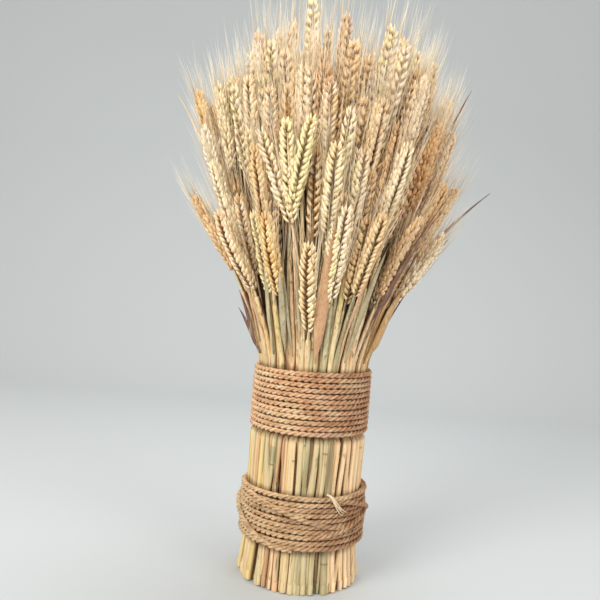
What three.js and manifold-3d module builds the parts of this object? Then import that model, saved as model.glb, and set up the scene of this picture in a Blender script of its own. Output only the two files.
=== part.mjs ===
// A standing sheaf of dried bearded wheat: straws tied by two wide bands of wound cord, cut flat at the
// base, with the ears fanned out above. Millimetres, +Z up, origin at the middle of the cut base.
// The front is towards -Y, and angles round the sheaf are in degrees from the front, positive to +X.
import * as THREE from "three";
import { mergeVertices } from "three/addons/utils/BufferGeometryUtils.js";
import Module from "manifold-3d";

const wasm = await Module();
wasm.setup();

// Driving dimensions of the tied part
const OUTER_STRAWS = 48;
const STRAW_RADIUS = 3.1;
const TIED_PROFILE = [
  // height and radius of the outer straws' centre line, from the cut ends to the top of the upper band
  { height: 0, radius: 57 },
  { height: 36, radius: 54 },
  { height: 92, radius: 54 },
  { height: 134, radius: 54.9 },
  { height: 142, radius: 50.6 },
  { height: 209, radius: 50.6 },
];
const FAN_START = TIED_PROFILE.at(-1).height;
const CORD_PITCH = 5;
const CORD_DEPTH = 4.8;
const LOWER_BAND = { bottom: 38, turns: 10, strawLine: 54 };
const UPPER_BAND = { bottom: 142, turns: 12, strawLine: 50.6 };
const SEAT_GAP = 0.35;
const SEAM_TURN = Math.PI / 2; // the cords start and end at the back

// Driving dimensions of the fan
const FAN_SLOPE = 29; // outward run of an outer stalk for each 100 mm of height, as it leaves the band
const NECK_RADIUS = 1.3;
const EAR_LENGTH = 78;
const EAR_HALF_WIDTH = 7.8;
const EAR_HALF_DEPTH = 5.6;
const AWN_RADIUS = 0.45;
const AWN_REACH = 48; // how far the middle awn stands above the ear
const SIDE_AWN_LENGTH = 80;
const SIDE_AWNS = [3, 2]; // repeated round the ring

// Front half of the outer ring, from the left edge (-90 degrees) to the right edge (+90 degrees):
// height and radius of each ear's tip, and how far it swings round sideways, in degrees
const FRONT_EARS = [
  { tip: 478, radius: 138, swing: -2 },
  { tip: 366, radius: 134, swing: 0 },
  { tip: 432, radius: 128, swing: 1 },
  { tip: 470, radius: 122, swing: 0 },
  { tip: 394, radius: 124, swing: -2 },
  { tip: 346, radius: 124, swing: 0 },
  { tip: 466, radius: 116, swing: 1 },
  { tip: 402, radius: 118, swing: 3 },
  { tip: 345, radius: 106, swing: 0 },
  { tip: 422, radius: 114, swing: 3 },
  { tip: 470, radius: 111, swing: 0 },
  { tip: 322, radius: 92, swing: -1 },
  { tip: 404, radius: 116, swing: 0 },
  { tip: 354, radius: 106, swing: 0 },
  { tip: 446, radius: 112, swing: 0 },
  { tip: 350, radius: 112, swing: 1 },
  { tip: 412, radius: 118, swing: 0 },
  { tip: 474, radius: 116, swing: 0 },
  { tip: 352, radius: 118, swing: 0 },
  { tip: 438, radius: 122, swing: 0 },
  { tip: 388, radius: 124, swing: 1 },
  { tip: 344, radius: 122, swing: 0 },
  { tip: 444, radius: 124, swing: 0 },
  { tip: 392, radius: 132, swing: 1 },
  { tip: 482, radius: 118, swing: 0 },
];
// Heights that the ears' tips at the back repeat, and their radius
const BACK_TIPS = [356, 430, 398, 474];
const BACK_RADIUS = { low: 110, high: 122, lowTip: 340, highTip: 480 };

// Rings of stalks inside the outer one, as shares of its radius
const INNER_RINGS = [
  { share: 0.8, count: 26, lowTip: 440, highTip: 520, tipRadius: 99 },
  { share: 0.6, count: 18, lowTip: 462, highTip: 532, tipRadius: 76 },
  { share: 0.38, count: 11, lowTip: 482, highTip: 545, tipRadius: 50 },
  { share: 0.15, count: 4, lowTip: 512, highTip: 548, tipRadius: 20 },
];
const TALLEST = { ring: 2, place: 9, tip: 556 };

// Dry leaves: the outer stalk each grows from, counted from the front, the height of its foot, its run,
// its width, how far its foot and tip stand off the stalk, its swing sideways and the twist of its blade
const LEAVES = [
  { slot: 0, foot: 212, run: 92, width: 11, offFoot: 6, offTip: 9, swing: 3, twist: 0 },
  { slot: -4, foot: 218, run: 78, width: 6, offFoot: 5, offTip: 9, swing: 5, twist: 10 },
  { slot: -11, foot: 213, run: 56, width: 5, offFoot: 6, offTip: 14, swing: -4, twist: 60 },
  { slot: -12, foot: 330, run: 138, width: 3.4, offFoot: 4, offTip: 14, swing: -6, twist: 60 },
  { slot: 4, foot: 214, run: 104, width: 6, offFoot: 5, offTip: 10, swing: 4, twist: -10 },
  { slot: 8, foot: 213, run: 74, width: 9, offFoot: 7, offTip: 10, swing: 1, twist: -40 },
  { slot: 11, foot: 292, run: 96, width: 4, offFoot: 5, offTip: 32, swing: 1, twist: -60 },
  { slot: 12, foot: 384, run: 96, width: 3.6, offFoot: 4, offTip: 24, swing: 2, twist: -60 },
  { slot: 16, foot: 216, run: 90, width: 8, offFoot: 5, offTip: 12, swing: -4, twist: 10 },
  { slot: 21, foot: 213, run: 84, width: 6, offFoot: 5, offTip: 10, swing: 5, twist: -10 },
  { slot: 27, foot: 214, run: 98, width: 10, offFoot: 6, offTip: 14, swing: 3, twist: 0 },
  { slot: 32, foot: 220, run: 80, width: 5, offFoot: 5, offTip: 18, swing: -5, twist: 20 },
];
const LEAF_HALF_THICKNESS = 0.5;

// A repeatable run of numbers from 0 to 1
function numbers(seed) {
  let state = seed;
  return () => {
    state = (state * 16807) % 2147483647;
    return state / 2147483647;
  };
}

const radians = THREE.MathUtils.degToRad;
const mix = THREE.MathUtils.lerp;

// Radius of the outer straws' centre line at a height below the fan
function tiedRadius(height) {
  const above = Math.max(1, TIED_PROFILE.findIndex((knot) => knot.height >= height));
  const [low, high] = [TIED_PROFILE[above - 1], TIED_PROFILE[above]];
  return mix(low.radius, high.radius, (height - low.height) / (high.height - low.height));
}

// A point at an angle, radius and height, with the slow unevenness that neighbouring stalks share
function sheafPoint(angle, radius, height) {
  const turn = radians(angle);
  const share = Math.max(0, (height - FAN_START) / 350) ** 2;
  const bent = turn + share * (0.1 * Math.sin(2 * turn + 0.6) + 0.05 * Math.sin(5 * turn));
  const reach = radius * (1 + share * 0.07 * Math.sin(3 * turn + 1));
  return new THREE.Vector3(reach * Math.sin(bent), -reach * Math.cos(bent), height);
}

// The point of a stalk's centre line at a height: straight up in the ties, then out in an even curve
function stalkPoint(stalk, height, standOff = 0) {
  if (height <= FAN_START) {
    return sheafPoint(stalk.angle, stalk.share * tiedRadius(height) + standOff, height);
  }
  const rise = (height - FAN_START) / 100;
  const fullRise = (stalk.tip - FAN_START) / 100;
  const start = stalk.share * TIED_PROFILE.at(-1).radius;
  const curve = (stalk.radius - start - stalk.share * FAN_SLOPE * fullRise) / fullRise ** 2;
  const radius = start + stalk.share * FAN_SLOPE * rise + curve * rise ** 2;
  const angle = stalk.angle + stalk.swing * (rise / fullRise) ** 2;
  return sheafPoint(angle, radius + standOff, height);
}

// Height of the neck, where the ear starts, so that the ear has its length along the slope
function neckHeight(stalk) {
  const slope = stalkPoint(stalk, stalk.tip).distanceTo(stalkPoint(stalk, stalk.tip - 50)) / 50;
  return stalk.tip - stalk.earLength / slope;
}

// The outer ring, one stalk in each place, from the left edge round the front, the right and the back
function outerStalks() {
  const draw = numbers(7);
  return Array.from({ length: OUTER_STRAWS }, (_, i) => {
    const slot = i - (FRONT_EARS.length - 1) / 2;
    const chosen = FRONT_EARS[i];
    const low = BACK_TIPS[i % BACK_TIPS.length] + 20 * (draw() - 0.5);
    const highShare = (low - BACK_RADIUS.lowTip) / (BACK_RADIUS.highTip - BACK_RADIUS.lowTip);
    return {
      slot,
      angle: (slot * 360) / OUTER_STRAWS,
      share: 1,
      tip: chosen ? chosen.tip : low,
      radius: chosen ? chosen.radius : mix(BACK_RADIUS.low, BACK_RADIUS.high, highShare),
      swing: chosen ? chosen.swing : 2 * (draw() - 0.5),
      earLength: EAR_LENGTH * (0.94 + 0.14 * draw()),
      roll: 50 * (draw() - 0.5),
      cutHeight: i % 3 ? 1.5 * draw() : 0,
    };
  });
}

// The rings inside it
function innerStalks() {
  const draw = numbers(23);
  return INNER_RINGS.flatMap((ring, r) =>
    Array.from({ length: ring.count }, (_, i) => {
      const drawn = mix(ring.lowTip, ring.highTip, draw());
      return {
        angle: ((i + 0.5 * r) * 360) / ring.count,
        share: ring.share,
        tip: r === TALLEST.ring && i === TALLEST.place ? TALLEST.tip : drawn,
        radius: ring.tipRadius + 4 * (draw() - 0.5),
        swing: 3 * (draw() - 0.5),
        earLength: EAR_LENGTH * (0.94 + 0.14 * draw()),
        roll: 90 * (draw() - 0.5),
      };
    }),
  );
}

// A four-sided row of a limb: its middle, two directions across it, the reach of each corner and its lift
function row(centre, first, second, reach, lift = [0, 0, 0, 0], up = new THREE.Vector3()) {
  const across = [first, second, first.clone().negate(), second.clone().negate()];
  const corners = across.map((way, i) =>
    centre.clone().addScaledVector(way, reach[i]).addScaledVector(up, lift[i]),
  );
  return { centre, corners };
}

// A closed limb through its rows, from the lowest up, that ends in a point
function limb(rows, point) {
  const body = new THREE.CylinderGeometry(1, 1, 1, 4, rows.length - 1);
  const at = body.getAttribute("position");
  for (let i = 0; i < at.count; i++) {
    const [x, z] = [at.getX(i), at.getZ(i)];
    const level = Math.round((at.getY(i) + 0.5) * (rows.length - 1));
    const corner = (Math.round(Math.atan2(x, z) / (Math.PI / 2)) + 4) % 4;
    const middle = level ? point : rows[0].centre;
    const place = Math.hypot(x, z) < 0.5 ? middle : rows[level].corners[corner];
    at.setXYZ(i, place.x, place.y, place.z);
  }
  return body;
}

// The way out from the sheaf's axis and the way round it, square to a stalk's direction
function acrossOf(direction, place) {
  const second = direction.clone().cross(new THREE.Vector3(place.x, place.y, 0)).normalize();
  return { first: second.clone().cross(direction), second };
}

function stemRow(stalk, height, radius) {
  const centre = stalkPoint(stalk, height);
  const ahead = stalkPoint(stalk, height + 2).sub(stalkPoint(stalk, Math.max(0, height - 2)));
  const { first, second } = acrossOf(ahead.normalize(), centre);
  return row(centre, first, second, Array(4).fill(radius));
}

// Share of its full width that an ear has at a share of its length
function earOutline(share) {
  return Math.min(1, 0.62 + 1.5 * share, 0.5 + 1.7 * (1 - share));
}

// Rows of an ear: each level is a pair of spikelets, the left one half a step above the right one,
// that swell upwards and then step back in
function earRows(stalk, levels) {
  const neck = stalkPoint(stalk, neckHeight(stalk));
  const up = stalkPoint(stalk, stalk.tip).sub(neck).normalize();
  const level = acrossOf(up, neck);
  const first = level.first.clone().applyAxisAngle(up, radians(stalk.roll));
  const second = level.second.clone().applyAxisAngle(up, radians(stalk.roll));
  const step = (stalk.earLength - 4) / (levels + 0.5);
  const lift = [step / 4, 0, step / 4, step / 2];
  const rows = [];
  for (let i = 0; i < levels; i++) {
    for (const swell of [0, 1]) {
      const along = 1 + step * (i + 0.74 * swell);
      const share = earOutline(along / stalk.earLength);
      const wide = EAR_HALF_WIDTH * share * (swell ? 1 : 0.52);
      const deep = EAR_HALF_DEPTH * share * (swell ? 1 : 0.66);
      const centre = neck.clone().addScaledVector(up, along);
      rows.push(row(centre, first, second, [deep, wide, deep, wide], lift, up));
    }
  }
  const end = neck.clone().addScaledVector(up, stalk.earLength);
  rows.push(row(end, first, second, Array(4).fill(0.6)));
  return { rows, neck, up, first, second, awnTip: end.clone().addScaledVector(up, AWN_REACH) };
}

// A stalk in one piece: its straw from the given heights, its neck, its ear and the middle awn
function stalkLimb(stalk, heights, levels) {
  const ear = earRows(stalk, levels);
  const neck = neckHeight(stalk);
  const between = (FAN_START + neck) / 2;
  const straw = heights.map((height) => stemRow(stalk, height, STRAW_RADIUS));
  const upper = [stemRow(stalk, between, 2.1), stemRow(stalk, neck, NECK_RADIUS)];
  const stem = [...straw, ...upper.slice(heights.length > 1 ? 0 : 1)];
  return { body: limb([...stem, ...ear.rows], ear.awnTip), ear };
}

// Shortest distance between two straight stretches
function distanceApart(a, b, c, d) {
  const [u, v, w] = [b.clone().sub(a), d.clone().sub(c), a.clone().sub(c)];
  const [uu, uv, vv, uw, vw] = [u.dot(u), u.dot(v), v.dot(v), u.dot(w), v.dot(w)];
  const square = uu * vv - uv * uv;
  const clamp = (x) => THREE.MathUtils.clamp(x, 0, 1);
  let s = square > 1e-9 ? clamp((uv * vw - vv * uw) / square) : 0;
  const t = clamp((uv * s + vw) / vv);
  s = clamp((uv * t - uw) / uu);
  return w.addScaledVector(u, s).addScaledVector(v, -t).length();
}

// The straight stretches that stand for a stalk, with the radius that each needs
function stretchesOf(stalk) {
  const neck = neckHeight(stalk);
  const heights = [FAN_START, (FAN_START + neck) / 2, neck];
  const places = heights.map((height) => stalkPoint(stalk, height));
  const tip = stalkPoint(stalk, stalk.tip);
  const beyond = tip.clone().add(tip.clone().sub(places[2]).setLength(AWN_REACH));
  return [
    { from: places[0], to: places[1], radius: STRAW_RADIUS },
    { from: places[1], to: places[2], radius: 2.1 },
    { from: places[2], to: tip, radius: EAR_HALF_WIDTH },
    { from: tip, to: beyond, radius: AWN_RADIUS },
  ].map((stretch) => ({ ...stretch, owner: stalk }));
}

function isClear(from, to, radius, owner, stretches) {
  return stretches.every(
    (other) =>
      other.owner === owner ||
      distanceApart(from, to, other.from, other.to) > radius + other.radius + 0.4,
  );
}

// The first few side awns of an ear, tried all round it, that pass clear of every other stalk
function sideAwns(stalk, ear, taken, wanted) {
  const found = [];
  for (let i = 0; i < 16 && found.length < wanted; i++) {
    const turn = radians(i * 137.5);
    const side = ear.first.clone().multiplyScalar(Math.cos(turn));
    side.addScaledVector(ear.second, Math.sin(turn));
    const root = ear.neck.clone().addScaledVector(ear.up, stalk.earLength * (0.4 + 0.025 * i));
    const spread = radians(11 + (i % 3) * 3);
    const way = ear.up.clone().multiplyScalar(Math.cos(spread));
    way.addScaledVector(side, Math.sin(spread));
    const end = root.clone().addScaledVector(way, SIDE_AWN_LENGTH);
    if (!isClear(root, end, AWN_RADIUS, stalk, taken)) continue;
    taken.push({ from: root, to: end, radius: AWN_RADIUS, owner: stalk });
    found.push(needle(root, end));
  }
  return found;
}

function needle(root, end) {
  const length = root.distanceTo(end);
  const body = new THREE.ConeGeometry(AWN_RADIUS, length, 3).translate(0, length / 2, 0);
  const way = end.clone().sub(root).normalize();
  const turn = new THREE.Quaternion().setFromUnitVectors(new THREE.Vector3(0, 1, 0), way);
  return body.applyQuaternion(turn).translate(root.x, root.y, root.z);
}

// A thin arched blade whose foot is sunk in its stalk
function leafBlade(stalk, leaf) {
  const shares = [0, 0.12, 0.45, 0.78];
  const rows = shares.map((share) => {
    const height = leaf.foot + leaf.run * share;
    const standOff = share ? mix(leaf.offFoot, leaf.offTip, share ** 2) : 0;
    const place = leafPoint(stalk, leaf, height, share, standOff);
    const turn = Math.atan2(place.y, place.x) + radians(leaf.twist);
    const out = new THREE.Vector3(Math.cos(turn), Math.sin(turn), 0);
    const round = new THREE.Vector3(-out.y, out.x, 0);
    const half = (leaf.width / 2) * [0.2, 0.75, 1, 0.7][shares.indexOf(share)];
    const arch = [LEAF_HALF_THICKNESS, half, LEAF_HALF_THICKNESS, half];
    return row(place, out, round, arch);
  });
  const tip = leafPoint(stalk, leaf, leaf.foot + leaf.run, 1, leaf.offTip);
  return limb(rows, tip);
}

function leafPoint(stalk, leaf, height, share, standOff) {
  const swung = { ...stalk, angle: stalk.angle + leaf.swing * share };
  return stalkPoint(swung, height, standOff);
}

// The packed straws inside the outer ring, fused as one ridged column that domes over above the band
function packedStraws() {
  const reach = STRAW_RADIUS + SEAT_GAP;
  const outline = TIED_PROFILE.map((knot) => new THREE.Vector2(knot.radius - reach, knot.height));
  const dome = [new THREE.Vector2(40, FAN_START + 8), new THREE.Vector2(0, FAN_START + 14)];
  const column = new THREE.LatheGeometry([new THREE.Vector2(0, 0), ...outline, ...dome], 16);
  return column.rotateX(Math.PI / 2);
}

// A band of cord wound round the straws: each turn is a ridge, and a full turn climbs by one pitch, so
// that the cord's two ends show as steps one cord deep
function woundBand(band) {
  const columns = 20;
  const ridges = 2 * band.turns;
  const inner = (band.strawLine + STRAW_RADIUS + SEAT_GAP) / Math.cos(Math.PI / columns);
  const points = [];
  const addPoint = (column, radius, height) => {
    const turn = (2 * Math.PI * column) / columns + SEAM_TURN;
    points.push(radius * Math.cos(turn), radius * Math.sin(turn), height);
    return points.length / 3 - 1;
  };
  const ridgeRadius = (k) => inner + CORD_DEPTH * (k % 2 ? 1 : 0.42);
  const outer = [];
  const low = [];
  const high = [];
  for (let j = 0; j <= columns; j++) {
    const foot = band.bottom + (CORD_PITCH * j) / columns;
    const top = foot + CORD_PITCH * band.turns;
    const last = j === columns;
    const shared = last ? outer[0].slice(2) : [];
    for (let k = shared.length; k <= ridges; k++) {
      shared.push(addPoint(j, ridgeRadius(k), foot + (CORD_PITCH * k) / 2));
    }
    outer.push(shared);
    low.push(last ? addPoint(0, inner, foot) : addPoint(j, inner, foot));
    high.push(addPoint(j, inner, top));
  }
  const faces = [];
  for (let j = 0; j < columns; j++) {
    const [here, next] = [outer[j], outer[j + 1]];
    for (let k = 0; k < ridges; k++) {
      faces.push(here[k], next[k], next[k + 1], here[k], next[k + 1], here[k + 1]);
    }
    faces.push(low[j], low[j + 1], next[0], low[j], next[0], here[0]);
    faces.push(here[ridges], next[ridges], high[j + 1], here[ridges], high[j + 1], high[j]);
    if (j > 0 && j < columns - 1) {
      faces.push(low[j], high[j + 1], low[j + 1], low[j], high[j], high[j + 1]);
    }
  }
  // The seam, where the inner wall steps up and the cord's two ends are cut square
  const [step, crest] = [low[columns], high[0]];
  faces.push(low[0], step, low[1], step, high[1], low[1], step, crest, high[1]);
  const before = columns - 1;
  faces.push(low[before], crest, step, low[before], high[before], crest);
  faces.push(high[before], high[columns], crest);
  const start = outer[0];
  faces.push(low[0], start[0], step, start[0], start[2], step, start[0], start[1], start[2]);
  const end = outer[columns];
  faces.push(crest, high[columns], end[ridges - 2], high[columns], end[ridges], end[ridges - 2]);
  faces.push(end[ridges - 2], end[ridges], end[ridges - 1]);
  const body = new THREE.BufferGeometry();
  body.setAttribute("position", new THREE.Float32BufferAttribute(points, 3));
  return body.setIndex(faces);
}

function solidOf(geometry) {
  const plain = geometry.clone();
  plain.deleteAttribute("normal");
  plain.deleteAttribute("uv");
  const merged = mergeVertices(plain, 1e-3);
  const vertProperties = merged.getAttribute("position").array;
  const triVerts = new Uint32Array(merged.index.array);
  return new wasm.Manifold(new wasm.Mesh({ numProp: 3, vertProperties, triVerts }));
}

function fused(geometries) {
  const joined = geometries.map(solidOf).reduce((all, next) => all.add(next)).simplify(0.02);
  const { vertProperties, triVerts } = joined.getMesh();
  const geometry = new THREE.BufferGeometry();
  geometry.setAttribute("position", new THREE.BufferAttribute(vertProperties, 3));
  return geometry.setIndex(new THREE.BufferAttribute(triVerts, 1));
}

const STRAW_TINTS = [0xd9bd82, 0xcfae74, 0xe0c893, 0xc99f68];
const strawMaterials = STRAW_TINTS.map(
  (color) => new THREE.MeshStandardMaterial({ color, roughness: 0.62, metalness: 0 }),
);
const cordMaterial = new THREE.MeshStandardMaterial({ color: 0xb08a5a, roughness: 0.9, metalness: 0 });

const sheaf = new THREE.Group();

function addPiece(name, geometry, material) {
  const piece = new THREE.Mesh(geometry, material);
  piece.name = name;
  sheaf.add(piece);
}

const outer = outerStalks();
const inner = innerStalks();
const taken = [...outer, ...inner].flatMap(stretchesOf);
const OUTER_LEVELS = 5;
const INNER_LEVELS = 4;

outer.forEach((stalk, i) => {
  const heights = TIED_PROFILE.map((knot) => Math.max(knot.height, stalk.cutHeight));
  const { body, ear } = stalkLimb(stalk, heights, OUTER_LEVELS);
  const leaves = LEAVES.filter((leaf) => leaf.slot === stalk.slot);
  const awns = sideAwns(stalk, ear, taken, SIDE_AWNS[i % SIDE_AWNS.length]);
  const extras = [...leaves.map((leaf) => leafBlade(stalk, leaf)), ...awns];
  const name = `stalk_${String(i + 1).padStart(2, "0")}`;
  addPiece(name, fused([body, ...extras]), strawMaterials[i % strawMaterials.length]);
});

const innerLimbs = inner.map((stalk) => stalkLimb(stalk, [FAN_START - 12], INNER_LEVELS).body);
addPiece("inner_stalks", fused([packedStraws(), ...innerLimbs]), strawMaterials[1]);
addPiece("lower_cord_band", woundBand(LOWER_BAND), cordMaterial);
addPiece("upper_cord_band", woundBand(UPPER_BAND), cordMaterial);

export default sheaf;
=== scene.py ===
"""Looks of a standing sheaf of dried bearded wheat, tied by two bands of wound cord. The front is towards -Y.
The layout is in millimetres, as the solids' is, and meshes are in metres. Angles round the sheaf are in
degrees from the front, positive towards +X."""

import math

import bpy
import numpy as np
from mathutils import Matrix, Vector


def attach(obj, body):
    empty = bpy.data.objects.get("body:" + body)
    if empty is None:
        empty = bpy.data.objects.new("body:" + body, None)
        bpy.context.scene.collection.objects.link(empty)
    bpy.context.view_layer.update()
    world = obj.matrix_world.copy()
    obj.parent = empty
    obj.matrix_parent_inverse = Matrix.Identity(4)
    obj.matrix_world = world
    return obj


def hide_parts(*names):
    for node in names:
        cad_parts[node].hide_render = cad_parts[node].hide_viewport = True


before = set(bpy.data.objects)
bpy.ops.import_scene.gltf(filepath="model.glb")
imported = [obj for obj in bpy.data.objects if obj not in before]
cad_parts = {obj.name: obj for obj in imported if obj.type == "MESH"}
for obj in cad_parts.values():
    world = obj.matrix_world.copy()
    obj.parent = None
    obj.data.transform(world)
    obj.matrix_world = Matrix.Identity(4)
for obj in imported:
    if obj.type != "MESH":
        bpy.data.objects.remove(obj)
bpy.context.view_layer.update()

MM = 0.001
TURN = 2 * math.pi

# The layout of the solids, from the same named values
OUTER_STRAWS = 48
STRAW_RADIUS = 3.1
TIED_HEIGHTS = np.array([0, 36, 92, 138.4, 143.4, 209])
TIED_RADII = np.array([57, 54, 54, 54.7, 50.6, 50.6])
FAN_START, FAN_EASE, FAN_SLOPE = 209, 10, 29
# Slow unevenness that neighbours share: the rise to its full size, two waves that turn a stalk aside, in
# radians, and one that moves it out, as a share of its radius
UNEVEN_RISE, UNEVEN_TURNS, UNEVEN_REACH = 350, (0.1, 0.05), 0.07
EAR_LENGTH, AWN_REACH = 78, 48
CORD_PITCH, CORD_DEPTH, SEAT_GAP = 5, 4.8, 0.35
# The cord's two strands: length of one twist, distance of each from the centre line, and girth
STRAND_LAY, STRANDS_APART, STRAND_GIRTH = 12.4, 1.36, 1.24
# A plain core fills the cord behind its strands
CORE_SUNK, CORE_GIRTH = 1.3, 1.95
TURN_STEPS = 192
# The two bands of cord. A crossing turn goes from one angle and height to another, and its last number is how
# far it stands proud. A tail is the frayed end, from one angle and height to another
LOWER_BAND = {
    "bottom": 38, "turns": 10, "straw_line": 54, "loose": 2.0, "tails": [((19, 94), (34, 78))],
    "crossings": [
        ((-118, 74), (-8, 41), 4.2), ((28, 86), (150, 50), 3.6), ((-62, 84), (44, 62), 2.8),
        ((2, 54), (88, 70), 2.6),
    ],
}
UPPER_BAND = {
    "bottom": 142, "turns": 12, "straw_line": 50.6, "loose": 1.5, "tails": [],
    "crossings": [((150, 192), (222, 150), 3.4)],
}

# Tip height, tip radius and swing of the ears of the front half of the outer ring, left edge first
FRONT_EARS = [
    (478, 138, -2), (366, 134, 0), (432, 128, 1), (470, 122, 0), (394, 124, -2),
    (346, 124, 0), (466, 116, 1), (402, 118, 3), (345, 106, 0), (422, 114, 3),
    (470, 111, 0), (322, 92, -1), (404, 116, 0), (354, 106, 0), (446, 112, 0),
    (350, 112, 1), (412, 118, 0), (474, 116, 0), (352, 118, 0), (438, 122, 0),
    (388, 124, 1), (344, 122, 0), (444, 124, 0), (392, 132, 1), (482, 118, 0),
]
# The place of the stalk straight in front
FRONT_PLACE = (len(FRONT_EARS) - 1) / 2
# Tones of single outer ears, by place from the left edge: 0 is darkest, 1 palest, and above 1 an ear keeps
# clear of the right side's ruddy tint
EAR_TONES = {
    1: 0.32, 5: 0.78, 11: 0.85, 12: 0.9, 13: 1.1, 15: 0.75, 16: 1.2, 17: 1.1, 18: 0.1, 19: 0.2, 21: 1.18,
}
BACK_TIPS, BACK_RADIUS, BACK_HEIGHTS = [356, 430, 398, 474], (110, 122), (340, 480)

# Rings inside the outer one: share of its radius, stalks, lowest and highest tip, tip radius, first place
INNER_RINGS = [
    (0.8, 26, 440, 520, 99, 0), (0.6, 18, 462, 532, 76, 0.5),
    (0.38, 11, 482, 545, 50, 1), (0.15, 4, 512, 548, 20, 1.5),
]
# Tips given one by one, by ring and place: the tallest ear, and stalks kept out of the gap below the crossing
# ears
TALLEST = {(2, 9): 556}
RAISED_LOW = {(0, 22): 436, (0, 23): 450}
RAISED_HIGH = {(0, 22): 472}
RAISED_FLANK = {(0, 26): 446}
# Rings that the solids leave out: thin stalks in the gaps of the outer ring, and ears between the rest
GAP_RINGS = [(0.965, 24, 338, 404, 99, 0.25), (0.965, 24, 404, 476, 106, 0.75)]
# Pale ears that lean across others in front: first angle, tip height, tip radius, swing and tone
CROSSED_EARS = [(-12, 414, 120, -20, 0.84), (-26.5, 423, 121, 17.5, 1.1), (-18.6, 421, 123, -0.4, 1.0)]
CROSSED_EAR_LENGTH = 84
FLANK_RINGS = [(0.93, 28, 366, 420, 104, 0.4), (0.92, 24, 414, 470, 112, 0.2)]
FILL_RINGS = [
    (0.88, 24, 446, 496, 108, 0.5), (0.7, 20, 448, 520, 88, 0.3),
    (0.49, 14, 472, 536, 64, 0.1), (0.26, 8, 492, 542, 36, 0.4),
]

# Dry leaves: outer stalk counted from the front, foot height, run, width, stand-off at foot and tip, swing,
# twist, and tone, from mauve brown through grey-green and golden brown to cream
LEAVES = [
    (0, 212, 126, 12, 6, 9, 3, 0, 0.7), (-4, 218, 78, 6, 5, 9, 5, 10, 0.3),
    (-11, 213, 44, 4, 5, 11, -4, 60, 0.08), (-12, 336, 140, 3.2, 3, 25, -6, 60, 0.87),
    (-10, 214, 60, 4, 6, 9, -7, 40, 0.12), (-9, 226, 150, 3, 5, 7, 7, 30, 0.72),
    (-7, 220, 130, 3.4, 5, 8, -6, 0, 0.76), (-6, 216, 140, 5, 5, 7, 8, 10, 0.34),
    (-3, 216, 120, 3.6, 5, 7, -7, 20, 0.3), (3, 222, 130, 3, 5, 8, 5, 10, 0.78),
    (6, 220, 140, 4, 5, 8, 3, 20, 0.12), (-2, 224, 134, 3.6, 5, 5, -4, 30, 0.36),
    (7, 230, 170, 3, 5, 9, -3, 0, 0.7), (9, 224, 112, 3.2, 5, 7, 3, 30, 0.14),
    (10, 232, 130, 3, 5, 8, -3, 0, 0.66), (4, 214, 104, 6, 5, 10, 4, -10, 0.36),
    (8, 213, 74, 9, 7, 10, 1, -40, 0.58), (7, 256, 98, 7, 7, 13, 0, -35, 0.05),
    (6, 250, 100, 4.6, 7, 13, 1, -40, 0.13), (11, 292, 96, 5, 5, 32, 1, -60, 0.1),
    (12, 394, 100, 4.6, 4, 20, 2, -60, 0.1), (16, 216, 90, 8, 5, 12, -4, 10, 0.7),
    (21, 213, 84, 6, 5, 10, 5, -10, 0.3), (27, 214, 98, 10, 6, 14, 3, 0, 0.6),
    (32, 220, 80, 5, 5, 18, -5, 20, 0.9),
]


def numbers(seed):
    """A repeatable run of numbers from 0 to 1, as the solids' layout draws."""
    state = seed
    while True:
        state = (state * 16807) % 2147483647
        yield state / 2147483647


def mix(low, high, share):
    return low + (high - low) * share


def eased(share):
    """A share from 0 to 1 that starts and ends level."""
    share = np.clip(share, 0, 1)
    return share * share * (3 - 2 * share)


def unit(vectors):
    return vectors / np.linalg.norm(vectors, axis=-1, keepdims=True)


def around(radius, turn, height):
    """Points at a radius, a turn in radians from +X and a height."""
    return np.stack([radius * np.cos(turn), radius * np.sin(turn), height], -1)


def sheaf_points(angle, radius, height):
    """Points at an angle, radius and height, with the slow unevenness."""
    turn = np.radians(angle)
    share = np.maximum(0, (height - FAN_START) / UNEVEN_RISE) ** 2
    bent = turn + share * (UNEVEN_TURNS[0] * np.sin(2 * turn + 0.6) + UNEVEN_TURNS[1] * np.sin(5 * turn))
    reach = radius * (1 + share * UNEVEN_REACH * np.sin(3 * turn + 1))
    return np.stack([reach * np.sin(bent), -reach * np.cos(bent), height + 0 * bent], -1)


def tied_radius(heights):
    """Radius of the outer straws' centre line in the ties, eased from each profile height to the next."""
    place = np.interp(heights, TIED_HEIGHTS, np.arange(len(TIED_HEIGHTS)))
    low = np.minimum(place.astype(int), len(TIED_HEIGHTS) - 2)
    return mix(TIED_RADII[low], TIED_RADII[low + 1], eased(place - low))


def stalk_points(stalk, heights, stand_off=0.0, swing=0.0):
    """Points of a stalk's centre line: straight up in the ties, then out in an even curve."""
    heights = np.asarray(heights, float)
    above = heights - FAN_START
    soft = (above + FAN_EASE) ** 2 / (4 * FAN_EASE)
    rise = np.where(abs(above) < FAN_EASE, soft, np.maximum(0, above)) / 100
    full = (stalk["tip"] - FAN_START) / 100
    start = stalk["share"] * TIED_RADII[-1]
    curve = (stalk["radius"] - start - stalk["share"] * FAN_SLOPE * full) / full**2
    spread = stalk["share"] * FAN_SLOPE * rise + curve * rise**2
    radius = stalk["share"] * tied_radius(heights) + spread + stand_off
    angle = stalk["angle"] + swing + stalk["swing"] * (rise / full) ** 2
    return sheaf_points(angle, radius, heights)


def neck_height(stalk):
    """Height where the ear starts, from the slope of the stalk's last stretch."""
    stretch = 50
    ends = stalk_points(stalk, [stalk["tip"], stalk["tip"] - stretch])
    return stalk["tip"] - stalk["ear"] / (np.linalg.norm(ends[0] - ends[1]) / stretch)


def either_way(draw, width):
    """A drawn number from minus half a width to plus half of it."""
    return width * (next(draw) - 0.5)


def ear_length(draw):
    return EAR_LENGTH * (0.94 + 0.14 * next(draw))


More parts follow.
